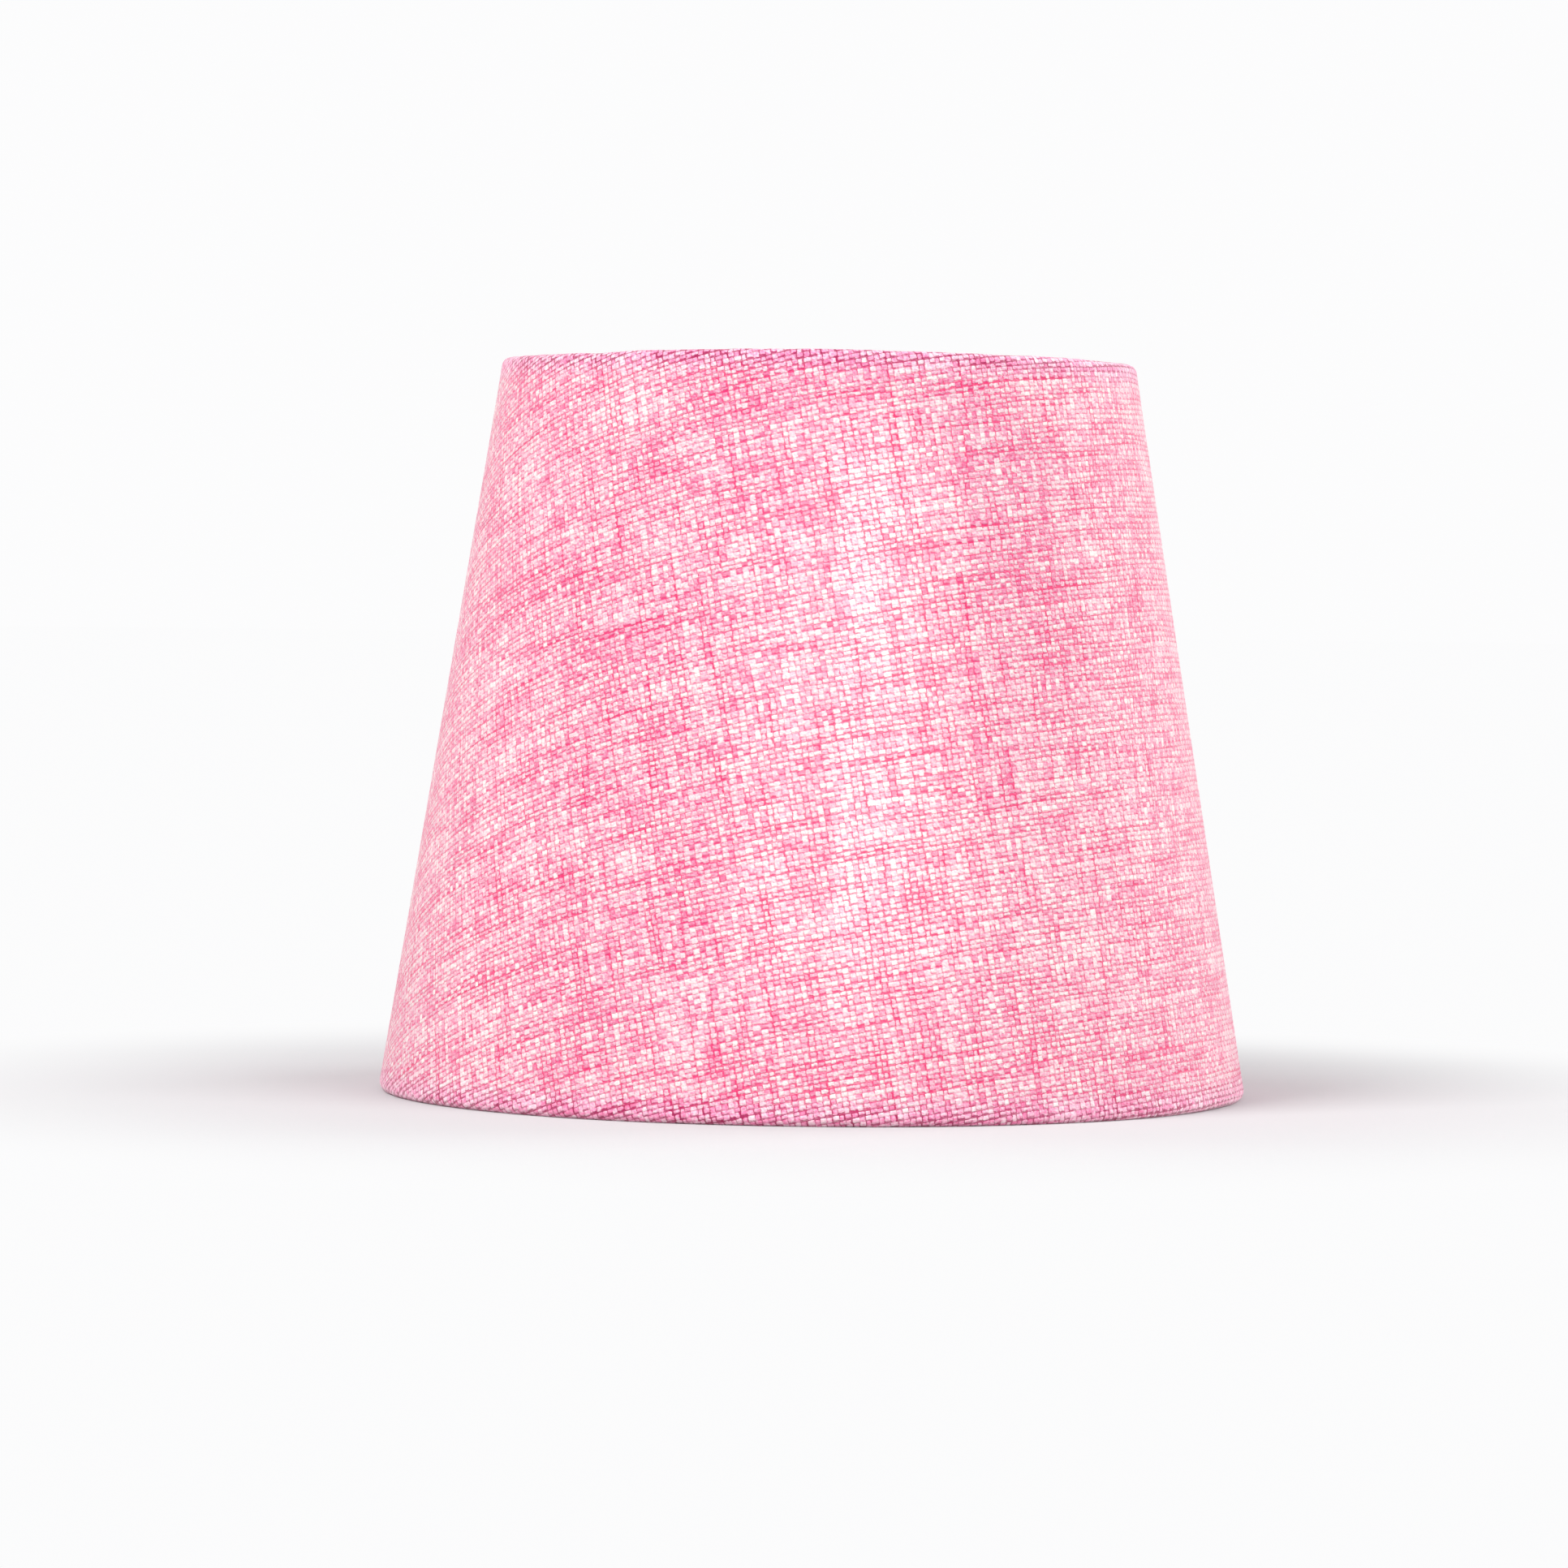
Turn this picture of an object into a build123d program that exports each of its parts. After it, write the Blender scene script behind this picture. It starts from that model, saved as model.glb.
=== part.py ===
from build123d import *

import os
from math import cos, degrees, hypot, radians, sin, sqrt

# A hard-backed empire lamp shade: cloth on a stiff liner, rolled over two wire rings, with a three-armed
# fitter low inside. Sizes are in millimetres. The shade stands on z = 0, its axis is Z and its seam is at +Y.

# Overall shape, over the cloth
bottom_diameter = 200.0
top_diameter = 145.6
height = 168.4

# Cloth, liner and seam
cloth_thickness = 0.6
liner_thickness = 0.35
tape_thickness = 0.15
bottom_hem_depth = 7.0        # up the wall, from the bottom rim to the raw edge glued inside
top_hem_depth = 5.0           # down the wall, from the top rim to the raw edge glued inside
hem_lift_angle = 50.0         # turn between the wall and the stretch of hem that leaves its ring
standing_flat = 1.6           # width that the bottom roll is pressed flat to
lap_width = 10.0              # how far the cloth's end lies over its beginning
lap_fold_width = 1.0
lap_end_margin = 0.5          # from the lap's two ends to the rolls
tape_margin = 1.0             # from the tape to the lap's free edge
seam_azimuth = 90.0
liner_butt_gap = 0.8          # between the liner's two ends, under the lap
liner_ring_clearance = 0.1    # from the liner's edges to the wire rings

# Wire frame
bottom_wire_diameter = 3.0
top_wire_diameter = 2.5
arm_wire_diameter = 2.8
arm_azimuths = (30.0, 150.0, 270.0)
arm_bend_radius = 6.0
arm_bend_gap = 6.0            # from the fitter's edge to the bend's corner
arm_pad_thickness = 1.4
arm_pad_width = 4.4
arm_pad_margin = 1.5          # from the fitter's bore to the pad's end
arm_pad_overhang = 2.5        # past the fitter's outer edge
arm_pad_corner = 1.1
arm_wire_overlap = 1.25       # how far the round wire runs into its pad
weld_height = 0.5             # of the bead round each arm, at the ring
weld_tip_height = 0.125       # and at its far end
weld_start = 1.0              # from the ring's centre line
weld_end = 3.0
slit_clearance = 0.15         # between a weld bead and the slit hem

# Fitter ring, a flat washer
fitter_height = 25.0          # from the bottom rim to its underside
fitter_bore_diameter = 42.0
fitter_diameter = 56.0
fitter_thickness = 1.2
fitter_edge_break = 0.2

# Reducer ring, which lifts out of the fitter ring
holder_bore_diameter = 29.0
reducer_clearance = 0.25      # all round its spigot, in the fitter's bore
reducer_spigot_depth = 2.6
reducer_flange_diameter = 50.0
reducer_flange_thickness = 1.5
reducer_collar_width = 2.5
reducer_collar_height = 0.8
reducer_edge_round = 0.4
grip_count = 6
grip_radius = 1.6
grip_setback = 0.8            # from the flange's edge out to each grip's centre

# Worked out from the sizes above
bottom_radius = bottom_diameter / 2
top_radius = top_diameter / 2
wall_length = hypot(bottom_radius - top_radius, height)
lean_sin = (bottom_radius - top_radius) / wall_length
lean_cos = height / wall_length
bottom_roll = bottom_wire_diameter / 2 + cloth_thickness
top_roll = top_wire_diameter / 2 + cloth_thickness
bottom_ring_level = sqrt(bottom_roll ** 2 - (standing_flat / 2) ** 2)
bottom_ring_climb = (bottom_ring_level + bottom_roll * lean_sin) / lean_cos
top_ring_climb = (height - top_roll + top_roll * lean_sin) / lean_cos
bead_radius = arm_wire_diameter / 2 + weld_height
lap_low = bottom_ring_climb + lap_end_margin
lap_high = top_ring_climb - lap_end_margin
lap_angle = degrees(lap_width / bottom_radius)
fold_angle = degrees(lap_fold_width / bottom_radius)


def wall_point(climb, depth):
    """A point in the XZ plane, climb up the wall's outer face and depth inside it."""
    radius = bottom_radius - climb * lean_sin - depth * lean_cos
    level = climb * lean_cos - depth * lean_sin
    return (radius, 0, level)


def strip_outline(low, high, near, far):
    """The section of a piece of sheet that follows the wall: climb low to high, depth near to far."""
    corners = [wall_point(low, near), wall_point(high, near), wall_point(high, far), wall_point(low, far)]
    return make_face(Polyline(*corners, close=True))


def turned(outline, start, sweep):
    """An outline turned about the axis, from azimuth start through sweep degrees."""
    return Rot(0, 0, start) * revolve(outline, Axis.Z, sweep)


def around_ring(climb, roll, radius, way, turn):
    """The wall point at radius from a ring's centre, turned from the outside round the rim by turn degrees."""
    angle = radians(turn)
    return wall_point(climb - way * radius * sin(angle), roll - radius * cos(angle))


def hem_edges(climb, wire, way, raw_edge):
    """The outline of one rolled hem, from the wall's outer face round the wire ring to its inner face.

    way is 1 at the bottom, where the hem comes back up, and -1 at the top.
    """
    roll = wire + cloth_thickness
    lift = radians(hem_lift_angle)
    leave = 180 + hem_lift_angle
    glued = cloth_thickness + liner_thickness
    outer_run = (roll * (1 + cos(lift)) - glued - cloth_thickness) / sin(lift)
    inner_run = (roll + wire * cos(lift) - glued) / sin(lift)
    outer_bend = climb + way * (roll * sin(lift) + outer_run * cos(lift))
    inner_bend = climb + way * (wire * sin(lift) + inner_run * cos(lift))
    outer_arc = [around_ring(climb, roll, roll, way, turn) for turn in (0, leave / 2, leave)]
    inner_arc = [around_ring(climb, roll, wire, way, turn) for turn in (leave, leave / 2, 0)]
    tail = Polyline(
        outer_arc[2],
        wall_point(outer_bend, glued + cloth_thickness),
        wall_point(raw_edge, glued + cloth_thickness),
        wall_point(raw_edge, glued),
        wall_point(inner_bend, glued),
        inner_arc[0],
    )
    return [ThreePointArc(*outer_arc), tail, ThreePointArc(*inner_arc)]


def cloth_outline():
    """The cloth's section: two straight faces, joined round both wire rings."""
    bottom_hem = hem_edges(bottom_ring_climb, bottom_wire_diameter / 2, 1, bottom_hem_depth)
    top_hem = hem_edges(top_ring_climb, top_wire_diameter / 2, -1, wall_length - top_hem_depth)
    outer_face = Line(bottom_hem[0] @ 0, top_hem[0] @ 0)
    inner_face = Line(bottom_hem[2] @ 1, top_hem[2] @ 1)
    return make_face([outer_face, *top_hem, inner_face, *bottom_hem])


def lapped_cloth():
    """The cloth turned right round, its free end at the back folded up over the tape that holds it down."""
    plain = cloth_outline()
    outside = -tape_thickness - cloth_thickness
    folded = plain + strip_outline(lap_low, lap_high, outside, cloth_thickness / 2)
    flap = strip_outline(lap_low, lap_high, outside, -tape_thickness)
    start = seam_azimuth - lap_angle / 2
    panel = turned(plain, start + fold_angle, 360 - fold_angle)
    fold = turned(folded, start, fold_angle)
    return panel + fold + turned(flap, start + fold_angle, lap_angle - fold_angle)


def arm_path():
    """One arm's centre line in the XZ plane: straight up from the bottom ring, then level to its pad."""
    start = wall_point(bottom_ring_climb, bottom_roll)
    pad_level = fitter_height - arm_pad_thickness / 2
    corner = fitter_diameter / 2 + arm_bend_gap
    end = fitter_diameter / 2 + arm_pad_overhang - arm_wire_overlap
    return FilletPolyline(start, (corner, 0, pad_level), (end, 0, pad_level), radius=arm_bend_radius)


def hem_slit():
    """The room in the bottom hem for one arm: round its weld, and open to the hem's raw edge."""
    radius = bead_radius + slit_clearance
    path = arm_path()
    hole = Cylinder(radius, bottom_hem_depth, align=(Align.CENTER, Align.CENTER, Align.MIN))
    near = cloth_thickness + liner_thickness / 2
    far = near + bottom_hem_depth
    above = bottom_hem_depth + cloth_thickness
    corners = [
        wall_point(bottom_ring_climb, near),
        wall_point(above, near),
        wall_point(above, far),
        wall_point(bottom_ring_climb, far),
    ]
    slot = extrude(make_face(Polyline(*corners, close=True)), amount=radius, dir=(0, 1, 0), both=True)
    return Plane(origin=path @ 0, z_dir=path % 0) * hole + slot


def fabric_cover():
    """The cloth, rolled over both rings, pressed flat where it stands and slit for the arms."""
    below = Cylinder(bottom_radius, bottom_roll, align=(Align.CENTER, Align.CENTER, Align.MAX))
    slits = [Rot(0, 0, azimuth) * hem_slit() for azimuth in arm_azimuths]
    return lapped_cloth() - below - slits


def edge_reach(wire):
    """How far a wire ring that touches the cloth spreads along the liner's inner face."""
    return sqrt(wire ** 2 - (wire - liner_thickness) ** 2) + liner_ring_clearance


def backing_liner():
    """The stiff sheet inside the cloth, from ring to ring, its ends butted under the lap."""
    low = bottom_ring_climb + edge_reach(bottom_wire_diameter / 2)
    high = top_ring_climb - edge_reach(top_wire_diameter / 2)
    gap = degrees(liner_butt_gap / bottom_radius)
    inside = cloth_thickness + liner_thickness
    sheet = strip_outline(low, high, cloth_thickness, inside)
    return turned(sheet, seam_azimuth + gap / 2, 360 - gap)


def seam_tape():
    """The tape between the lap and the cloth under it."""
    start = seam_azimuth - lap_angle / 2 + fold_angle
    sweep = lap_angle - fold_angle - degrees(tape_margin / bottom_radius)
    return turned(strip_outline(lap_low, lap_high, -tape_thickness, 0), start, sweep)


def wire_ring(climb, roll, wire):
    """A closed ring of round wire that the hem is rolled over."""
    radius, _, level = wall_point(climb, roll)
    return Pos(0, 0, level) * Torus(radius, wire)


def bottom_ring():
    return wire_ring(bottom_ring_climb, bottom_roll, bottom_wire_diameter / 2)


def top_ring():
    return wire_ring(top_ring_climb, top_roll, top_wire_diameter / 2)


def plain_arm():
    """One arm at azimuth 0: round wire with its inner end flattened to a pad."""
    path = arm_path()
    wire = sweep(Plane(origin=path @ 0, z_dir=path % 0) * Circle(arm_wire_diameter / 2), path)
    pad_start = fitter_bore_diameter / 2 + arm_pad_margin
    pad_length = fitter_diameter / 2 + arm_pad_overhang - pad_start
    pad = Box(pad_length, arm_pad_width, arm_pad_thickness, align=(Align.MIN, Align.CENTER, Align.MAX))
    pad = fillet(pad.edges().filter_by(Axis.Z), arm_pad_corner)
    return wire + Pos(pad_start, 0, fitter_height) * pad


def spider_arm():
    """An arm with its outer end coped to the bottom ring's round."""
    return plain_arm() - bottom_ring()


def arm_weld():
    """The bead of weld round an arm where it meets the bottom ring."""
    path = arm_path()
    bead = Pos(0, 0, weld_start) * Cone(
        bead_radius,
        arm_wire_diameter / 2 + weld_tip_height,
        weld_end - weld_start,
        align=(Align.CENTER, Align.CENTER, Align.MIN),
    )
    return Plane(origin=path @ 0, z_dir=path % 0) * bead - plain_arm() - bottom_ring()


def arm_welds():
    """The three beads as one group."""
    return Compound([Rot(0, 0, azimuth) * arm_weld() for azimuth in arm_azimuths])


def fitter_ring():
    """The washer that the arms carry, with its sharp edges broken."""
    seat = (Align.CENTER, Align.CENTER, Align.MIN)
    washer = Cylinder(fitter_diameter / 2, fitter_thickness, align=seat)
    washer -= Cylinder(fitter_bore_diameter / 2, fitter_thickness, align=seat)
    washer = chamfer(washer.edges().filter_by(GeomType.CIRCLE), fitter_edge_break)
    return Pos(0, 0, fitter_height) * washer


def reducer_ring():
    """The plastic ring whose flange rests on the fitter ring and whose spigot fills its bore."""
    seat = (Align.CENTER, Align.CENTER, Align.MIN)
    flange = Cylinder(reducer_flange_diameter / 2, reducer_flange_thickness, align=seat)
    grips = PolarLocations(reducer_flange_diameter / 2 + grip_setback, grip_count)
    flange -= [spot * Cylinder(grip_radius, reducer_flange_thickness, align=seat) for spot in grips]
    flange = fillet(flange.faces().sort_by(Axis.Z)[-1].edges(), reducer_edge_round)
    spigot_radius = fitter_bore_diameter / 2 - reducer_clearance
    spigot = Cylinder(spigot_radius, reducer_spigot_depth, align=(Align.CENTER, Align.CENTER, Align.MAX))
    top = reducer_flange_thickness + reducer_collar_height
    collar = Cylinder(holder_bore_diameter / 2 + reducer_collar_width, top, align=seat)
    bore = Pos(0, 0, -reducer_spigot_depth) * Cylinder(
        holder_bore_diameter / 2, reducer_spigot_depth + top, align=seat
    )
    ring = flange + spigot + collar - bore
    return Pos(0, 0, fitter_height + fitter_thickness) * ring


def all_parts():
    """Every piece by its name."""
    parts = {
        "fabric_cover": fabric_cover(),
        "backing_liner": backing_liner(),
        "seam_tape": seam_tape(),
        "top_ring": top_ring(),
        "bottom_ring": bottom_ring(),
        "arm_welds": arm_welds(),
        "fitter_ring": fitter_ring(),
        "reducer_ring": reducer_ring(),
    }
    for number, azimuth in enumerate(arm_azimuths, start=1):
        parts[f"spider_arm_{number}"] = Rot(0, 0, azimuth) * spider_arm()
    return parts


os.makedirs("parts", exist_ok=True)
for name, piece in all_parts().items():
    export_step(piece, f"parts/{name}.step")
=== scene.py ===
"""A pink linen-look lamp shade: cloth rolled over two wire rings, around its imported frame.

Sizes are in metres, angles in radians unless a name says degrees.
"""
import math

import bpy
import numpy as np
from mathutils import Matrix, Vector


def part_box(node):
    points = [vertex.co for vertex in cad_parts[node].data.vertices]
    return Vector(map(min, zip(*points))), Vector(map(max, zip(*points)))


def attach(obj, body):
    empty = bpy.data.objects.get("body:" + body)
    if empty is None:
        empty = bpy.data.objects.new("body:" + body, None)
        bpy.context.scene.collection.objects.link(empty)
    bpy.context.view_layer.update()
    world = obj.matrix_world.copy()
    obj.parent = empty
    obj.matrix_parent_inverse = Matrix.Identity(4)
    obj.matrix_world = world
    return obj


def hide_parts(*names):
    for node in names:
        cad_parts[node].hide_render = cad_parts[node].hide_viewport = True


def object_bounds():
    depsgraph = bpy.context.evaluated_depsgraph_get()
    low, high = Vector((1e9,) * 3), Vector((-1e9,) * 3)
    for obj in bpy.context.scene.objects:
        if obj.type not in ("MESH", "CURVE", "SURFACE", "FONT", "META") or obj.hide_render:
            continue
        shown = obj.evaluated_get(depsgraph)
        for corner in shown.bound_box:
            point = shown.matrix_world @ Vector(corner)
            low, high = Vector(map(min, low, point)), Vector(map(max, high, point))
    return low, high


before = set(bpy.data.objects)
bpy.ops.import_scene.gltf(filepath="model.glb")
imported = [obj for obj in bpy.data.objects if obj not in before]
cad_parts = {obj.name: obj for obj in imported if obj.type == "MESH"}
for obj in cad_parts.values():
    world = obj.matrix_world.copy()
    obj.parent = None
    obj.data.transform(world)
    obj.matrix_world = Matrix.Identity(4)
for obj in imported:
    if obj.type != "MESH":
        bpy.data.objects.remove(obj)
cad_low, cad_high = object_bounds()
MM = 0.001

# The cloth and how it is put on
FRONT = math.radians(270)
BACK = math.radians(90)
ARMS = np.radians([30, 150, 270])
LINER = 0.35 * MM
TAPE = 0.15 * MM              # under the lap
LAP = 10 * MM                 # at the back
LAP_RISE = 5 * MM             # length over which the lap climbs onto the layer below
HEM_TURN = math.radians(230)  # how far the cloth goes round each ring
BOTTOM_TAIL = 4.7 * MM        # glued hem above the bottom ring
TOP_TAIL = 3.4 * MM           # glued hem below the top ring
SLIT = 5.5 * MM               # snipped out of the bottom hem for each arm's weld
SLIT_TURN = math.radians(75)  # how far round the ring the snip reaches

# How uneven it is, in cells counted along the section and round the shade
ROLL_LUMPS = 0.07 * MM        # in the rolled hems only
LUMP_CELLS = (40, 170)
LUMPS_END = (3 * MM, 8 * MM)  # they fade out between these heights from either end
WALL_SWAY = 0.12 * MM         # everywhere
SWAY_CELLS = (5, 22)
SAG_REACH = 30 * MM           # how far below the top rim its sag fades out
RIM_WAVER = 0.10 * MM         # in the top rim, all round
RIM_DIPS = (                  # in the top rim: degrees round from the front, depth, degrees wide
    (62, 0.35 * MM, 16),
    (-43, 0.25 * MM, 4),
    (150, 0.3 * MM, 14),
    (215, 0.2 * MM, 9),
)

# Where light comes through, and where the hems' painted shade ends: from above the bottom roll to below
# the top one, each with its fade
LIT_ABOVE = (3.0 * MM, 4.6 * MM)
LIT_BELOW = (1.8 * MM, 3.2 * MM)

# The weave: cut a little off square and pulled a little out of true
WARP_LEAN = math.radians(9.4)
WEFT_LEAN = math.radians(11.8)
WARP_PITCH = 1.375 * MM
WEFT_PITCH = 1.19 * MM

# The cloth's grid: points along its section, from raw edge to raw edge, and round the shade
TAIL_STEPS, ROLL_STEPS, WALL_STEPS = 8, 22, 40
COLUMNS = 432
WALL_START = TAIL_STEPS + ROLL_STEPS - 2   # the path's points where the wall leaves each ring
WALL_END = WALL_START + WALL_STEPS - 1


def ring_section(node):
    """The centre (radius, level) of a wire ring's section, and its wire's radius."""
    low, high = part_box(node)
    wire = (high.z - low.z) / 2
    return np.array([high.x - wire, (high.z + low.z) / 2]), wire


BOTTOM_RING, BOTTOM_WIRE = ring_section("bottom_ring")
TOP_RING, TOP_WIRE = ring_section("top_ring")
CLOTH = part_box("fabric_cover")[1].x - BOTTOM_RING[0] - BOTTOM_WIRE


def wall_directions():
    """Unit vectors out of the wall and up it, in (radius, level).

    The wall's face touches both rolls, so its normal turns off the line through the ring centres
    by the angle whose sine is the difference of the rolls' radii over the centres' distance.
    """
    along = TOP_RING - BOTTOM_RING
    length = np.hypot(*along)
    along = along / length
    share = (BOTTOM_WIRE - TOP_WIRE) / length
    side = np.array([along[1], -along[0]])
    out = share * along + math.sqrt(1 - share ** 2) * side
    return out, np.array([-out[1], out[0]])


OUT, UP = wall_directions()


# ---------------------------------------------------------------- surfaces

def new_piece(name, points, quads, body, material):
    """A smooth mesh piece from arrays, riding on its body."""
    mesh = bpy.data.meshes.new(name)
    mesh.from_pydata(points.tolist(), [], quads.tolist())
    mesh.shade_smooth()
    mesh.materials.append(material)
    piece = bpy.data.objects.new(name, mesh)
    bpy.context.scene.collection.objects.link(piece)
    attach(piece, body)
    return piece


def shell(outer, inner, kept):
    """Points and quads of a closed sheet between outer and inner grids (rows, columns, 3).

    kept says which of the grids' (rows - 1, columns - 1) squares are cloth. Every edge between a square
    that is kept and one that isn't gets a face across the sheet's thickness, so that raw edges and slits
    are closed. The third result is each point's place in its grid, counted row by row.
    """
    rows, columns = outer.shape[:2]
    count = rows * columns
    index = np.arange(count).reshape(rows, columns)
    low_left, low_right = index[:-1, :-1], index[:-1, 1:]
    high_left, high_right = index[1:, :-1], index[1:, 1:]
    squares = np.stack([low_left, low_right, high_right, high_left], -1)[kept]
    around = np.pad(kept, 1)
    sides = [
        (around[:-2, 1:-1], low_right, low_left),
        (around[2:, 1:-1], high_left, high_right),
        (around[1:-1, :-2], low_left, high_left),
        (around[1:-1, 2:], high_right, low_right),
    ]
    rims = []
    for beyond, first, second in sides:
        cut = kept & ~beyond
        first, second = first[cut], second[cut]
        rims.append(np.stack([first, second, second + count, first + count], 1))
    quads = np.concatenate([squares, squares[:, ::-1] + count, *rims])
    used, quads = np.unique(quads, return_inverse=True)
    points = np.concatenate([outer.reshape(-1, 3), inner.reshape(-1, 3)])[used]
    return points, quads.reshape(-1, 4), used % count


def soft_noise(shape, cells, seed):
    """Smooth random values from -1 to 1 on a grid: a coarse lattice, eased between its points."""
    rng = np.random.default_rng(seed)
    lattice = rng.uniform(-1, 1, (cells[0] + 2, cells[1] + 2))
    row = np.linspace(0, cells[0], shape[0])
    column = np.linspace(0, cells[1], shape[1])
    r0, c0 = row.astype(int), column.astype(int)
    fr, fc = row - r0, column - c0
    fr, fc = (fr * fr * (3 - 2 * fr))[:, None], (fc * fc * (3 - 2 * fc))[None, :]
    low = lattice[np.ix_(r0, c0)] * (1 - fc) + lattice[np.ix_(r0, c0 + 1)] * fc
    high = lattice[np.ix_(r0 + 1, c0)] * (1 - fc) + lattice[np.ix_(r0 + 1, c0 + 1)] * fc
    return low * (1 - fr) + high * fr


def eased(value, start, end):
    """0 at start, 1 at end, smooth between."""
    t = np.clip((value - start) / (end - start), 0, 1)
    return t * t * (3 - 2 * t)


def hem_tail(leave, heading, glued, end, steps):
    """A curve (steps, 2) from leave, along heading, to end on the glued line, which runs up the liner.

    It is a quadratic Bezier curve whose corner is where the heading meets the glued line.
    """
    across = np.array([[heading[0], -UP[0]], [heading[1], -UP[1]]])
    run = np.linalg.solve(across, glued - leave)[0]
    corner = leave + heading * run
    t = np.linspace(0, 1, steps)[:, None]
    return (1 - t) ** 2 * leave + 2 * t * (1 - t) * corner + t ** 2 * end


def roll(ring, wire, start, sweep, steps):
    """An arc (steps, 2) of the cloth's middle line round a ring, and its heading at each point."""
    angle = start + sweep * np.linspace(0, 1, steps)
    spoke = np.stack([np.cos(angle), np.sin(angle)], 1)
    turn = np.sign(sweep) * np.stack([-np.sin(angle), np.cos(angle)], 1)
    return ring + (wire + CLOTH / 2) * spoke, turn


def cloth_path():
    """The cloth's middle line, in (radius, level).

    It goes from the raw edge of the bottom hem round the bottom ring, straight up the wall, round the
    top ring and down to the raw edge of the top hem. The glued ends run on the liner's inner face.
    """
    face = math.atan2(OUT[1], OUT[0])
    glued_depth = CLOTH * 1.5 + LINER
    low_roll, low_turn = roll(BOTTOM_RING, BOTTOM_WIRE, face - HEM_TURN, HEM_TURN, ROLL_STEPS)
    high_roll, high_turn = roll(TOP_RING, TOP_WIRE, face, HEM_TURN, ROLL_STEPS)
    low_face = BOTTOM_RING + OUT * (BOTTOM_WIRE + CLOTH)
    high_face = TOP_RING + OUT * (TOP_WIRE + CLOTH)
    low_glued = low_face - OUT * glued_depth
    high_glued = high_face - OUT * glued_depth
    low_end, high_end = low_glued + UP * BOTTOM_TAIL, high_glued - UP * TOP_TAIL
    low_tail = hem_tail(low_roll[0], -low_turn[0], low_glued, low_end, TAIL_STEPS)
    high_tail = hem_tail(high_roll[-1], high_turn[-1], high_glued, high_end, TAIL_STEPS)
    up_wall = np.linspace(0, 1, WALL_STEPS)[1:-1, None]
    wall = low_roll[-1] + (high_roll[0] - low_roll[-1]) * up_wall
    return np.concatenate([low_tail[:0:-1], low_roll, wall, high_roll, high_tail[1:]])


def side_of(path):
    """Unit normals on the cloth's good side, square to the path's direction."""
    step = np.gradient(path, axis=0)
    normal = np.stack([step[:, 1], -step[:, 0]], 1)
    return normal / np.linalg.norm(normal, axis=1, keepdims=True)


def turned(radius, level, azimuth):
    """Points at (radius, level) turned to azimuth about the shade's axis."""
    return np.stack([radius * np.cos(azimuth), radius * np.sin(azimuth), level], -1)


def unrolled(path, azimuth):
    """Flat cloth coordinates in metres, across and along the warp, and the length along the path.

    The wall unrolls about the cone's tip: the distance from it is kept, and an azimuth becomes that
    azimuth times the sine of the wall's lean. The hems carry on past the wall. Warp and weft are each
    turned off square by their own lean.
    """
    length = np.concatenate([[0], np.cumsum(np.linalg.norm(np.diff(path, axis=0), axis=1))])
    at_wall = np.argmin(np.abs(path - (BOTTOM_RING + OUT * (BOTTOM_WIRE + CLOTH / 2))).sum(1))
    tip = path[at_wall, 0] / OUT[1]
    away = tip - (length - length[at_wall])
    fan = (azimuth - FRONT) * OUT[1]
    x = away[:, None] * np.sin(fan)[None, :]
    y = -away[:, None] * np.cos(fan)[None, :]
    across = x * math.cos(WARP_LEAN) + y * math.sin(WARP_LEAN)
    along = y * math.cos(WEFT_LEAN) - x * math.sin(WEFT_LEAN)
    return across, along, length


def rim_sag(azimuth):
    """How much lower the top rim sits round the shade: a slow waver and a few shallow dips."""
    rng = np.random.default_rng(4)
    waves = range(2, 8)
    waver = sum(np.sin(k * azimuth + rng.uniform(0, 6.28)) * RIM_WAVER / k ** 0.5 for k in waves)
    for degrees_off_front, depth, degrees_wide in RIM_DIPS:
        away = (azimuth - FRONT - math.radians(degrees_off_front)) / math.radians(degrees_wide)
        waver = waver + depth * np.exp(-away ** 2)
    return waver


def laid_out(kept, length):
    """Every face's corners (faces, 4, 2) in the unit square, in the order that shell makes the faces.

    The good side is cut into two halves round the shade, one above the other, which fill most of the
    square. The hidden side is squeezed into a strip beside them, and the raw edges into a narrower one.
    """
    row, column = np.nonzero(kept)
    row = row[:, None] + np.array([0, 0, 1, 1])
    column_at = column[:, None] + np.array([0, 1, 1, 0])
    rows, columns = kept.shape
    half = columns // 2
    upper = (column >= half)[:, None]
    margin, width, height, next_half = 0.003, 0.925, 0.495, 0.499
    rim_left, rim_right = 0.933, 0.940
    hidden_left, hidden_width = 0.945, 0.05
    strip_low, strip_tall = 0.002, 0.996
    across = margin + width * (column_at - half * upper) / (columns - half)
    up = margin + height * length[row] / length[-1] + next_half * upper
    good = np.stack([across, up], -1)
    up = strip_low + strip_tall * column_at / columns
    hidden = np.stack([hidden_left + hidden_width * row / rows, up], -1)
    around = np.pad(kept, 1).astype(int)
    edges = np.abs(np.diff(around, axis=0)).sum() + np.abs(np.diff(around, axis=1)).sum()
    step = np.arange(edges)[:, None] + np.array([0, 1, 1, 0])
    across = np.broadcast_to([rim_left, rim_left, rim_right, rim_right], step.shape)
    rim = np.stack([across, strip_low + strip_tall * step / edges], -1)
    return np.concatenate([good, hidden[:, ::-1], rim])


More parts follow.
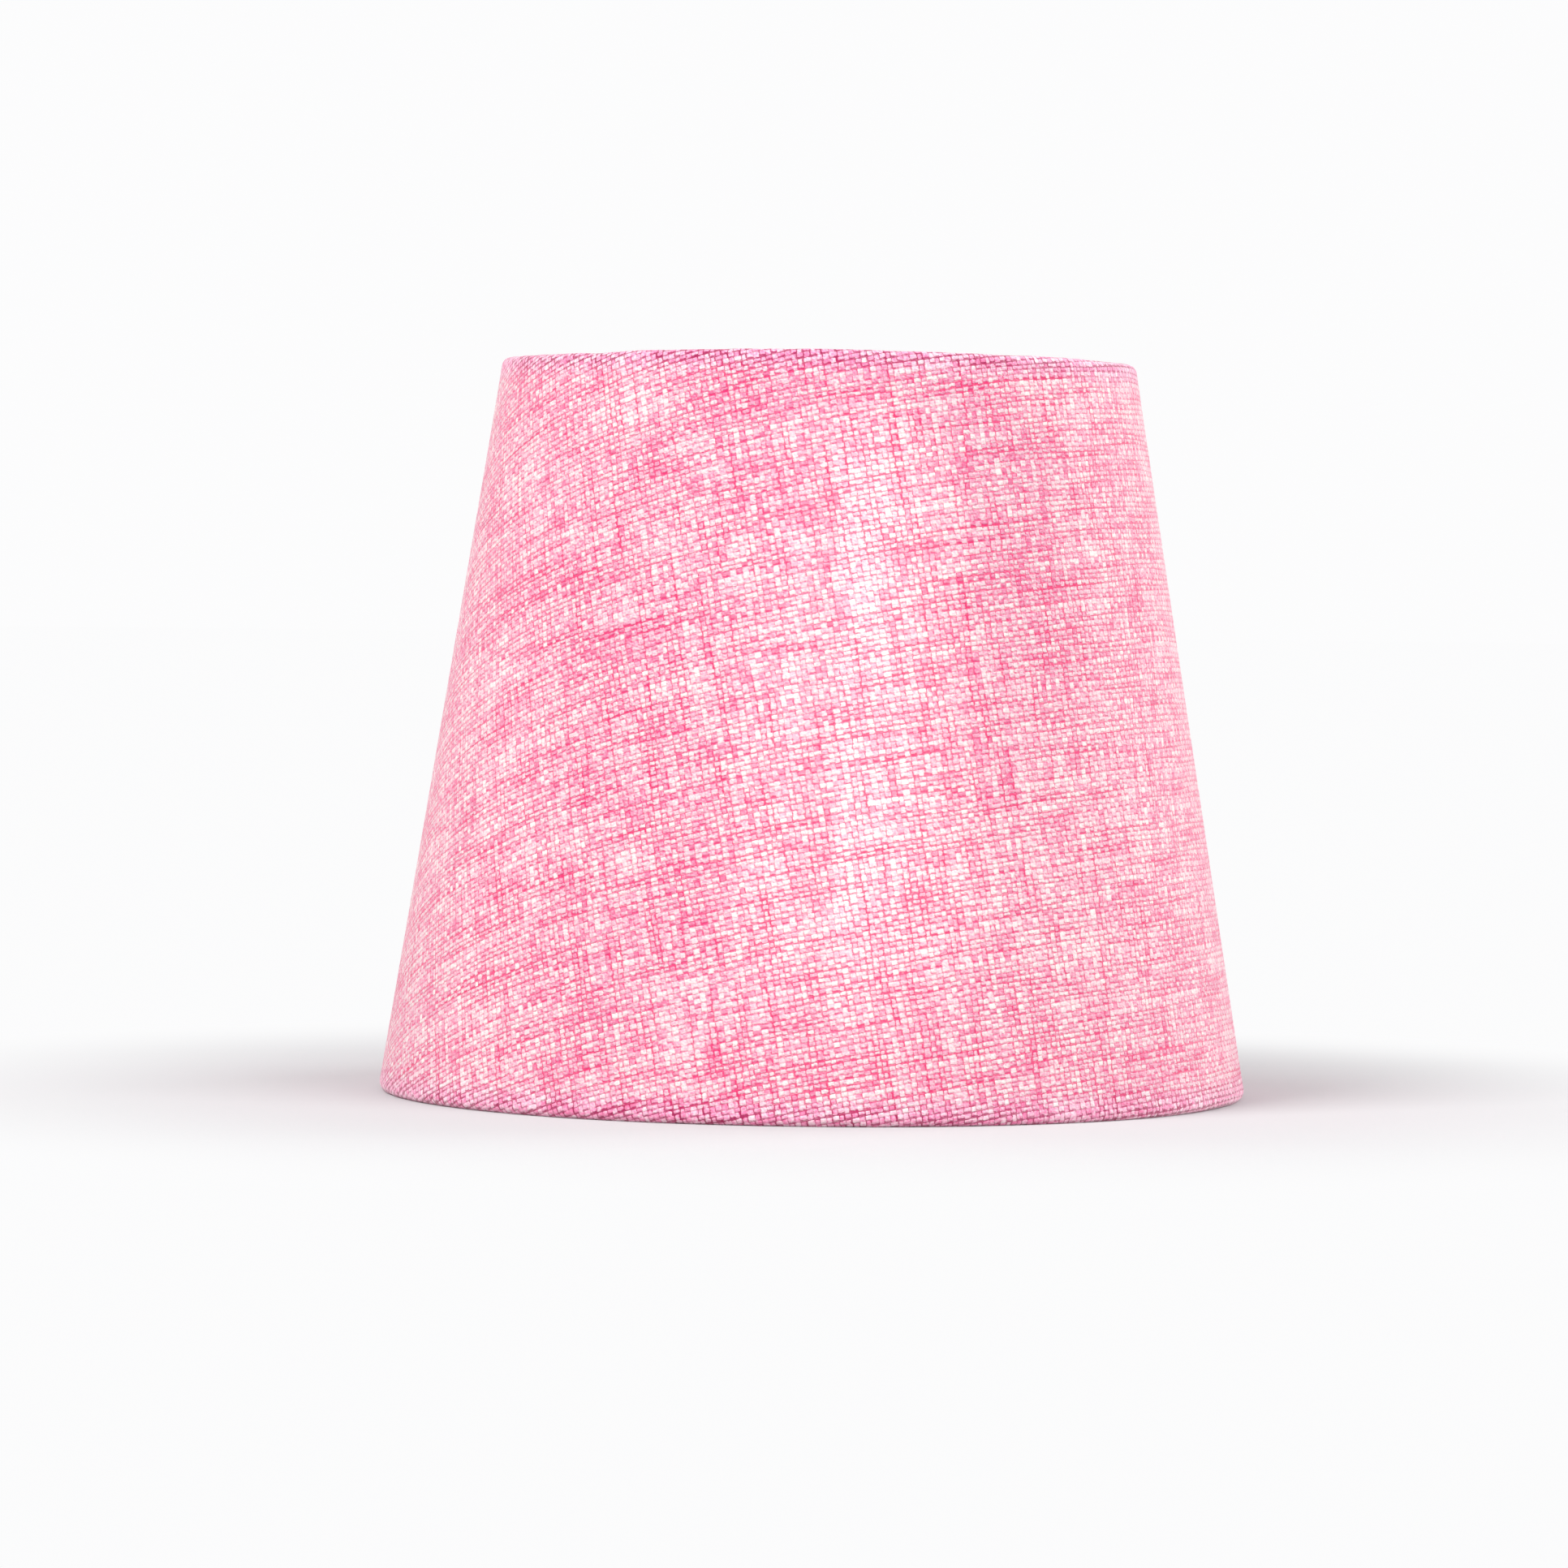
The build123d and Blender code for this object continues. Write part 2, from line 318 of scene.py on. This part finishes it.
def hem_slits(shape, azimuth):
    """Which squares of a (rows, columns) grid are cloth: all but the bottom hem's snips for the arms."""
    middle = (azimuth[1:] + azimuth[:-1]) / 2
    away = np.remainder(middle[:, None] - ARMS + math.pi, 2 * math.pi) - math.pi
    beside = (np.abs(away) * BOTTOM_RING[0] < SLIT / 2).any(1)
    deep = TAIL_STEPS - 1 + round(SLIT_TURN / HEM_TURN * (ROLL_STEPS - 1))
    row = np.arange(shape[0] - 1)
    return ~((row < deep)[:, None] & beside[None, :])


def cloth_faces(path, azimuth):
    """The cloth's good and hidden faces, as grids (rows, columns, 3).

    The path is turned round the axis and moved half the cloth's thickness to either side. The last
    columns climb onto the first ones at the back, the top rim sags, the rolls are slightly lumpy and the
    wall isn't quite true. Nothing goes below the level that the shade stands on.
    """
    good = side_of(path)
    shape = (len(path), len(azimuth))
    lap_start = azimuth[-1] - LAP / BOTTOM_RING[0]
    over = eased(azimuth, lap_start - LAP_RISE / BOTTOM_RING[0], lap_start)
    height = eased(path[:, 1], TOP_RING[1] - SAG_REACH, TOP_RING[1])
    half_height = cad_high.z / 2
    from_middle = np.abs(path[:, 1] - half_height)
    on_wall = eased(from_middle, half_height - LUMPS_END[0], half_height - LUMPS_END[1])
    lumps = soft_noise(shape, LUMP_CELLS, 7) * ROLL_LUMPS * (1 - on_wall)[:, None]
    sway = soft_noise(shape, SWAY_CELLS, 8) * WALL_SWAY
    off = over * (CLOTH + TAPE) + lumps + sway
    sag = height[:, None] * rim_sag(azimuth)
    faces = []
    for depth, lowest in ((CLOTH / 2, 0), (-CLOTH / 2, CLOTH / 3)):
        radius = path[:, 0, None] + good[:, 0, None] * (depth + off)
        level = path[:, 1, None] + good[:, 1, None] * (depth + off) - sag
        faces.append(turned(radius, np.maximum(level, lowest), azimuth))
    return faces


def fabric_cover(material):
    """The cloth as one closed sheet.

    It carries its flat coordinates ("cloth"), its layout for baking ("OFBake") and, for each point, how
    far it is one layer that light comes through ("single_layer").
    """
    path = cloth_path()
    half_lap = LAP / BOTTOM_RING[0] / 2
    azimuth = np.linspace(BACK - half_lap, BACK + 2 * math.pi + half_lap, COLUMNS)
    kept = hem_slits((len(path), COLUMNS), azimuth)
    points, quads, place = shell(*cloth_faces(path, azimuth), kept)
    piece = new_piece("linen_cover", points, quads, "shade", material)
    across, along, length = unrolled(path, azimuth)
    flat = np.stack([across.ravel(), along.ravel()], 1)
    piece.data.uv_layers.new(name="cloth").data.foreach_set("uv", flat[place[quads.ravel()]].ravel())
    piece.data.uv_layers.new(name="OFBake").data.foreach_set("uv", laid_out(kept, length).ravel())
    bottom, top = length[WALL_START], length[WALL_END]
    single = eased(length, bottom + LIT_ABOVE[0], bottom + LIT_ABOVE[1])
    single = single * eased(length, top - LIT_BELOW[0], top - LIT_BELOW[1])
    lit = piece.data.attributes.new("single_layer", "FLOAT", "POINT")
    lit.data.foreach_set("value", np.repeat(single, COLUMNS)[place])
    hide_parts("fabric_cover")
    return piece


# ---------------------------------------------------------------- materials

class Field:
    """A shader value: arithmetic on it adds the Math nodes."""

    def __init__(self, finish, socket):
        self.finish, self.socket = finish, socket

    def do(self, operation, *others, swap=False):
        """A Math node on this value and the others, in that order or, with swap, the reverse."""
        values = [self, *others]
        values = values[::-1] if swap else values
        return self.finish.node("ShaderNodeMath", {"operation": operation}, dict(enumerate(values)))

    def sibling(self, output):
        """Another output of the same node, by its number or name."""
        return Field(self.finish, self.socket.node.outputs[output])

    def __add__(self, other):
        return self.do("ADD", other)

    def __radd__(self, other):
        return self.do("ADD", other, swap=True)

    def __sub__(self, other):
        return self.do("SUBTRACT", other)

    def __rsub__(self, other):
        return self.do("SUBTRACT", other, swap=True)

    def __mul__(self, other):
        return self.do("MULTIPLY", other)

    def __rmul__(self, other):
        return self.do("MULTIPLY", other, swap=True)

    def __truediv__(self, other):
        return self.do("DIVIDE", other)

    def __rtruediv__(self, other):
        return self.do("DIVIDE", other, swap=True)


class Finish:
    """The nodes of one material, or of the world."""

    def __init__(self, wearer):
        self.wearer = wearer
        wearer.use_nodes = True
        self.tree = wearer.node_tree
        self.tree.nodes.clear()

    def node(self, kind, settings=None, inputs=None, output=0):
        """Any node, from its settings and its sockets' values or links, as a Field of one output."""
        made = self.tree.nodes.new(kind)
        for name, value in (settings or {}).items():
            setattr(made, name, value)
        for name, value in (inputs or {}).items():
            if isinstance(value, Field):
                self.tree.links.new(value.socket, made.inputs[name])
            else:
                made.inputs[name].default_value = value
        return made if output is None else Field(self, made.outputs[output])

    def span(self, value, low, high, to_low=0.0, to_high=1.0, smooth=True):
        """value mapped from low..high to to_low..to_high and held at the ends."""
        settings = {"interpolation_type": "SMOOTHSTEP" if smooth else "LINEAR"}
        return self.node("ShaderNodeMapRange", settings, {
            "Value": value, "From Min": low, "From Max": high, "To Min": to_low, "To Max": to_high})

    def grain(self, x, y, detail=0.0, z=0.0):
        """Smooth noise from 0 to 1 at (x, y, z)."""
        place = self.node("ShaderNodeCombineXYZ", {}, {0: x, 1: y, 2: z})
        return self.node("ShaderNodeTexNoise", {}, {"Vector": place, "Scale": 1.0, "Detail": detail})

    def mixed(self, amount, first, second):
        """A colour amount of the way from first to second."""
        ends = {"Factor": amount, 6: first, 7: second}
        return self.node("ShaderNodeMix", {"data_type": "RGBA"}, ends, 2)

    def ramp(self, amount, *stops):
        """The colour at amount along stops of (place, colour)."""
        made = self.node("ShaderNodeValToRGB", {}, {"Fac": amount})
        elements = made.socket.node.color_ramp.elements
        elements[0].position, elements[0].color = stops[0]
        elements[1].position, elements[1].color = stops[-1]
        for place, tint in stops[1:-1]:
            elements.new(place).color = tint
        return made

    def ended(self, shader, kind="ShaderNodeOutputMaterial"):
        """The material or the world, ended in this shader."""
        self.node(kind, {}, {"Surface": shader}, None)
        return self.wearer


def colour(red, green, blue):
    """A screen colour of 0 to 255 as linear light."""
    channels = np.array([red, green, blue]) / 255
    linear = np.where(channels > 0.04045, ((channels + 0.055) / 1.055) ** 2.4, channels / 12.92)
    return (*linear.tolist(), 1.0)


def linen_finish():
    """Plain weave of slubby two-tone yarn.

    u counts warp threads and v weft threads, both a little bent, and (du, dv) is the place within
    crossing (i, j). Warp is on top where i + j is even, weft where it is odd. Each float is a cushion
    whose edge is where x^4 + y^4 = 1, x and y being the distances from its middle over its half sizes.
    A warp float is narrow and tall, a weft float wide and low, and its middle sits a little off the
    crossing's, so that the gap, and the painted shade in it, is widest under each weft float and beside
    each
    warp float: a painted shadow as of light from above and one side.

    The gaps widen and narrow along the threads and hold the yarn's deep pink together with painted
    crease shade, painted darker still where the hems are doubled, as painted shade for the bulb's light
    that doesn't come through there. The yarn goes from pink to white with the tone of its thread, the
    tone of its float and its fibres, and is painted darker in the doubled hems. One layer lets some
    light through, most of it in the middle of each float.
    """
    f = Finish(bpy.data.materials.new("linen"))
    flat = f.node("ShaderNodeSeparateXYZ", {}, {0: f.node("ShaderNodeUVMap", {"uv_map": "cloth"})})
    single = f.node("ShaderNodeAttribute", {"attribute_name": "single_layer"}, output=2)

    # Threads and crossings
    u0 = flat / WARP_PITCH
    v0 = flat.sibling(1) / WEFT_PITCH
    u = u0 + f.grain(u0 * 0.40, v0 * 0.07) * 0.9
    v = v0 + f.grain(v0 * 0.40, u0 * 0.06, z=9.0) * 0.9
    i, j = u.do("ROUND"), v.do("ROUND")
    du, dv = u - i, v - j
    warp_up = ((i + j) * math.pi).do("COSINE").do("GREATER_THAN", 0.0)

    # What differs from thread to thread, gap to gap, float to float and fibre to fibre
    warp_tone = f.grain(i * 7.31, v * 0.09, 1.0, 3.5)
    weft_tone = f.grain(j * 5.83, u * 0.08, 1.0, 17.5)
    tone = weft_tone + (warp_tone - weft_tone) * warp_up
    warp_gap = f.grain(u.do("FLOOR") * 9.17, v * 0.06, 1.0, 31.0)
    weft_gap = f.grain(v.do("FLOOR") * 8.23, u * 0.05, 1.0, 37.0)
    gap = warp_gap.do("MAXIMUM", weft_gap)
    spot = f.grain(i * 3.7, j * 4.3, z=21.5)
    fibre = f.grain(u0 * 2.3 + v0 * 0.8, v0 * 2.3, 1.0, 11.0)

    # The float's half sizes, its edge and its crown
    slim = f.span(tone + fibre, 0.7, 1.3, -0.08, 0.08, smooth=False)
    narrowed = f.span(warp_gap, 0.35, 0.65, -0.06, 0.08)
    lowered = f.span(weft_gap, 0.35, 0.65, -0.05, 0.08)
    wide = 0.57 - 0.13 * warp_up + slim * warp_up - narrowed
    tall = 0.385 + 0.10 * warp_up + slim * (1.0 - warp_up) - lowered
    # The floats' middles sit off the crossings, so the painted gap shade falls below weft floats and
    # beside warp floats: a painted shadow as of light from above and one side
    across = (du + 0.07 * warp_up - 0.02) / wide
    along = (dv - 0.10 + 0.14 * warp_up) / tall
    x2, y2 = across * across, along * along
    edge = x2 * x2 + y2 * y2
    deep = f.span(edge, 0.25, 1.20)
    crown = ((1.0 - x2).do("MAXIMUM", 0.0) * (1.0 - y2).do("MAXIMUM", 0.0)).do("SQRT")

    # Colours, with painted crease shade in the gaps and painted hem shade where the cloth is doubled
    # How much of the deep colour fills the gaps: the yarn's deep pink together with painted crease
    # shade, more in wider gaps and, as painted hem shade, in the doubled hems
    dye_and_shade = tone * 0.6 + fibre * 0.4 - gap * 0.9 + single * 0.08
    dye_and_shade_amount = f.span(dye_and_shade, 0.25, -0.18, 0.55, 1.0, smooth=False)
    # single lightens the yarn where the cloth is one layer: painted light, which leaves the doubled hems
    # painted darker
    light = tone * 0.7 + spot * 0.6 + fibre * 0.9 + single * 0.08
    yarn = f.ramp(f.span(light, 0.88, 1.46, smooth=False),
                  (0.0, colour(226, 98, 150)), (0.30, colour(233, 151, 185)),
                  (0.62, colour(237, 204, 215)), (1.0, colour(243, 242, 238)))
    # Painted hem shade: where the cloth is doubled, the yarn is taken 40% of the way to a darker pink
    yarn_with_hem_shade = f.mixed(single * 0.4 + 0.6, colour(214, 138, 166), yarn)
    # Painted hem shade in the gaps: their darkest colour is deeper and duller where the cloth is doubled
    gaps_with_hem_shade = f.mixed(single, colour(150, 22, 76), colour(208, 20, 94))
    base = f.mixed(deep * dye_and_shade_amount, yarn_with_hem_shade, f.mixed(deep, colour(236, 102, 154), gaps_with_hem_shade))

    bump = f.node("ShaderNodeBump", {}, {
        "Strength": 1.0, "Distance": 0.22 * MM, "Height": crown + fibre * 0.25})
    cloth = f.node("ShaderNodeBsdfPrincipled", {}, {
        "Base Color": base, "Roughness": 0.8, "Normal": bump, "Sheen Weight": 0.4,
        "Sheen Roughness": 0.45, "Specular IOR Level": 0.25})
    through = f.node("ShaderNodeBsdfTranslucent", {}, {"Color": (1.0, 0.84, 0.78, 1.0)})
    amount = single * f.span(deep, 0.0, 1.0, 0.34, 0.05)
    return f.ended(f.node("ShaderNodeMixShader", {}, {0: amount, 1: cloth, 2: through}))


def plain_finish(name, tint, roughness, grain_size, bump):
    """A coated or moulded surface: faint mottling and a fine uneven skin."""
    f = Finish(bpy.data.materials.new(name))
    where = f.node("ShaderNodeTexCoord", {}, {}, 3)
    mottle = f.node("ShaderNodeTexNoise", {}, {
        "Vector": where, "Scale": 0.25 / grain_size, "Detail": 3.0})
    skin = f.node("ShaderNodeTexNoise", {}, {"Vector": where, "Scale": 1 / grain_size, "Detail": 2.0})
    darker = (*(0.95 * channel for channel in tint[:3]), 1.0)
    base = f.mixed(f.span(mottle, 0.35, 0.65), tint, darker)
    normal = f.node("ShaderNodeBump", {}, {"Strength": 0.3, "Distance": bump, "Height": skin})
    rough = f.span(mottle, 0.3, 0.7, roughness - 0.06, roughness + 0.08)
    return f.ended(f.node("ShaderNodeBsdfPrincipled", {}, {
        "Base Color": base, "Roughness": rough, "Normal": normal}))


def finish_nodes():
    """Materials for the carried-over frame, liner, tape and fitter."""
    coat = plain_finish("white_powder_coat", colour(226, 226, 223), 0.38, 0.8 * MM, 0.03 * MM)
    bead = plain_finish("coated_weld", colour(222, 221, 218), 0.45, 0.6 * MM, 0.12 * MM)
    sheet = plain_finish("matt_white_sheet", colour(238, 236, 231), 0.6, 2.0 * MM, 0.01 * MM)
    tape = plain_finish("tape_film", colour(236, 233, 222), 0.45, 1.0 * MM, 0.02 * MM)
    plastic = plain_finish("moulded_plastic", colour(224, 223, 218), 0.3, 0.6 * MM, 0.01 * MM)
    wearing = {
        "bottom_ring": coat, "top_ring": coat, "fitter_ring": coat,
        "spider_arm_1": coat, "spider_arm_2": coat, "spider_arm_3": coat,
        "arm_welds": bead, "backing_liner": sheet, "seam_tape": tape, "reducer_ring": plastic,
    }
    for name, material in wearing.items():
        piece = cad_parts[name]
        piece.data.materials.clear()
        piece.data.materials.append(material)


# ---------------------------------------------------------------- stage

def floor():
    """A wide pale floor that fades from grey-white under the shade into the white of the room."""
    f = Finish(bpy.data.materials.new("pale_floor"))
    where = f.node("ShaderNodeTexCoord", {}, {}, 3)
    far = f.node("ShaderNodeVectorMath", {"operation": "LENGTH"}, {0: where}, 1)
    plain = f.node("ShaderNodeBsdfDiffuse", {}, {"Color": (0.54, 0.54, 0.545, 1.0)})
    glow = f.node("ShaderNodeEmission", {}, {"Color": (0.97, 0.97, 0.975, 1.0), "Strength": 1.0})
    fade = f.span(far, 0.10, 0.26)
    material = f.ended(f.node("ShaderNodeMixShader", {}, {0: fade, 1: plain, 2: glow}))
    reach = 30
    corners = reach * np.array([[-1, -1, 0], [1, -1, 0], [1, 1, 0], [-1, 1, 0]], float)
    mesh = bpy.data.meshes.new("floor")
    mesh.from_pydata(corners.tolist(), [], [(0, 1, 2, 3)])
    mesh.materials.append(material)
    piece = bpy.data.objects.new("floor", mesh)
    bpy.context.scene.collection.objects.link(piece)
    return piece


def add_light(name, kind, place, power, tint=(1, 1, 1), turn=(0, 0, 0), **settings):
    """A light at place, turned by angles in degrees."""
    light = bpy.data.lights.new(name, kind)
    light.energy, light.color = power, tint
    for key, value in settings.items():
        setattr(light, key, value)
    lamp = bpy.data.objects.new(name, light)
    lamp.location = place
    lamp.rotation_euler = [math.radians(angle) for angle in turn]
    bpy.context.scene.collection.objects.link(lamp)
    return lamp


def only_on(lamp, pieces, blockers):
    """Lets a light reach only these pieces and be stopped only by those."""
    for use, members in (("receiver_collection", pieces), ("blocker_collection", blockers)):
        group = bpy.data.collections.new(f"{lamp.name}_{use}")
        for member in members:
            group.objects.link(member)
        setattr(lamp.light_linking, use, group)


def surroundings():
    """An even white room: full white where it is seen, softer as a light."""
    f = Finish(bpy.data.worlds.new("studio"))
    soft = f.node("ShaderNodeBackground", {}, {"Color": (0.98, 0.97, 1.0, 1.0), "Strength": 0.46})
    white = f.node("ShaderNodeBackground", {}, {"Color": (0.975, 0.975, 0.98, 1.0), "Strength": 1.0})
    seen = f.node("ShaderNodeLightPath").sibling("Is Camera Ray")
    room = f.node("ShaderNodeMixShader", {}, {0: seen, 1: soft, 2: white})
    bpy.context.scene.world = f.ended(room, "ShaderNodeOutputWorld")


def panel(name, place, power, turn, width, height, **settings):
    """A soft rectangular light."""
    return add_light(name, "AREA", place, power, turn=turn, shape="RECTANGLE",
                     size=width, size_y=height, **settings)


def lighting(cloth, ground):
    """Soft studio light, and the light of a bulb inside the shade, which reaches only the cloth.

    The key is at the upper left, a weaker fill at the right, a low light in front and two rims behind.
    """
    surroundings()
    panel("key", (-1.1, -1.1, 1.5), 40.0, (45, 0, -45), 1.0, 1.0)
    panel("fill", (1.3, -1.2, 1.3), 26.0, (50, 0, 47), 1.4, 1.4)
    panel("low", (0.2, -2.4, 0.35), 10.0, (88, 0, 5), 1.6, 0.6)
    panel("rim_-1", (-1.3, 0.7, 0.4), 9.0, (80, 0, -118), 0.8, 1.2)
    panel("rim_1", (1.3, 0.7, 0.4), 20.0, (80, 0, 118), 0.8, 1.2)
    bulb = [
        add_light("bulb_1", "POINT", (0, 0, 0.030), 0.07, (1.0, 0.94, 0.88), shadow_soft_size=0.02),
        add_light("bulb_2", "POINT", (0, 0, 0.085), 0.02, (1.0, 0.94, 0.88), shadow_soft_size=0.02),
        add_light("bulb_3", "POINT", (0, 0, 0.145), 0.07, (1.0, 0.94, 0.88), shadow_soft_size=0.02),
        panel("bulb_near", (0.009, -0.040, 0.092), 0.036, (-90, 0, 0), 0.012, 0.10,
              tint=(1.0, 0.94, 0.86), spread=math.radians(70)),
    ]
    for lamp in bulb:
        only_on(lamp, [cloth], [ground])


def camera():
    """A long lens at two thirds of the shade's height, pitched a little down and a touch off level."""
    pitch_down, off_level = math.radians(1.58), math.radians(0.65)
    lens = bpy.data.cameras.new("camera")
    lens.sensor_width = 36
    lens.lens = 142.55
    lens.clip_end = 100
    view = bpy.data.objects.new("camera", lens)
    view.location = (-0.0071, -1.434, 0.1107)
    level = Matrix.Rotation(math.pi / 2 - pitch_down, 3, "X")
    view.rotation_euler = (level @ Matrix.Rotation(off_level, 3, "Z")).to_euler()
    bpy.context.scene.collection.objects.link(view)
    bpy.context.scene.camera = view


cover = fabric_cover(linen_finish())
finish_nodes()
lighting(cover, floor())
camera()
bpy.context.scene.view_settings.view_transform = "Standard"
